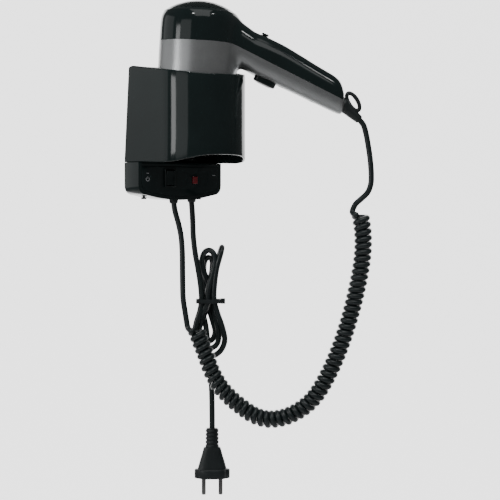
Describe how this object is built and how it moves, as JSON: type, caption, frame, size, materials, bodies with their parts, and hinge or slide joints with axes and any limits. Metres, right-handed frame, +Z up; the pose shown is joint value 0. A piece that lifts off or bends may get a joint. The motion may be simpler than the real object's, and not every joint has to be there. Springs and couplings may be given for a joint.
{
  "type": "wall-mounted hair dryer",
  "caption": "Pistol hair dryer resting nozzle-down in a U-shaped wall holster with a switch box below, a curly cord back to the box and a tied mains cord with a plug.",
  "frame": {"origin": "middle of the wall plate's back face, on the wall", "axes": "+Z up, +Y into the wall, +X to the right of someone facing the wall"},
  "size_m": [0.2125, 0.1803, 0.5528],
  "materials": {
    "black_gloss": "high gloss moulded plastic",
    "silver_paint": "satin silver metallic paint on plastic",
    "dark_inside": "matt moulded plastic",
    "cord_rubber": "smooth satin cord sheath",
    "steel": "bright steel",
    "pin_metal": "nickel-plated brass",
    "mica": "pressed mica sheet",
    "board": "solder-masked board",
    "red_lens": "clear red lens",
    "pale_plastic": "natural nylon"
  },
  "bodies": {
    "wall_unit": {"wall_plate": "steel", "holster_shell": "black_gloss", "nozzle_cradle": "dark_inside", "lower_casing": "black_gloss", "front_panel": "black_gloss", "rocker_frame": "dark_inside", "indicator_lens": "red_lens", "indicator_lamp": "pale_plastic", "terminal_block": "pale_plastic", "curly_gland": "cord_rubber", "mains_gland": "cord_rubber", "curly_cord_clamp": "pale_plastic", "mains_cord_clamp": "pale_plastic", "casing_screw_left": "steel", "casing_screw_right": "steel", "curly_lead_handle": "cord_rubber", "curly_coil": "cord_rubber", "curly_lead_base": "cord_rubber", "mains_lead_upper": "cord_rubber", "mains_hank": "cord_rubber", "hank_tie": "cord_rubber", "mains_lead_lower": "cord_rubber", "plug_strain_relief": "cord_rubber", "plug_body": "cord_rubber", "plug_pin_left": "pin_metal", "plug_pin_right": "pin_metal"},
    "rocker": {"rocker_button": "black_gloss"},
    "dryer": {"rear_shell": "black_gloss", "front_shell": "silver_paint", "intake_grille": "black_gloss", "fan_duct": "dark_inside", "motor_can": "steel", "motor_board": "board", "mica_cross": "mica", "mica_tube": "mica", "heating_coil_1": "steel", "heating_coil_2": "steel", "heating_coil_3": "steel", "thermostat": "pale_plastic", "thermal_fuse": "steel", "outlet_grille": "steel", "nozzle_ring": "black_gloss", "press_switch_body": "dark_inside", "slide_switch_body": "dark_inside", "handle_board": "board", "handle_cord_clamp": "pale_plastic", "handle_screw_1": "steel", "handle_screw_2": "steel", "strain_relief": "cord_rubber"},
    "fan_rotor": {"fan_impeller": "dark_inside", "motor_shaft": "steel"},
    "press_switch": {"press_button": "black_gloss"},
    "slide_switch": {"slide_knob": "black_gloss"}
  },
  "joints": [
    {"name": "dryer_lift", "type": "slide", "parent": "wall_unit", "child": "dryer", "axis": [0.0423, -0.0308, 0.9986], "range_m": [0, 0.12]},
    {"name": "rocker_hinge", "type": "hinge", "parent": "wall_unit", "child": "rocker", "pos_m": [-0.015, -0.026, -0.05], "axis": [1, 0, 0], "range_deg": [-14, 0]},
    {"name": "fan_spin", "type": "hinge", "parent": "dryer", "child": "fan_rotor", "pos_m": [-0.0016, -0.0628, 0.0975], "axis": [0.0423, -0.0308, 0.9986], "continuous": true},
    {"name": "press_switch_travel", "type": "slide", "parent": "dryer", "child": "press_switch", "axis": [0.3432, -0.2493, 0.9056], "range_m": [0, 0.003], "stiffness_N_per_m": 600, "springref_m": -0.001},
    {"name": "slide_switch_travel", "type": "slide", "parent": "dryer", "child": "slide_switch", "axis": [0.7469, -0.5426, -0.3843], "range_m": [-0.0035, 0.0035]}
  ]
}
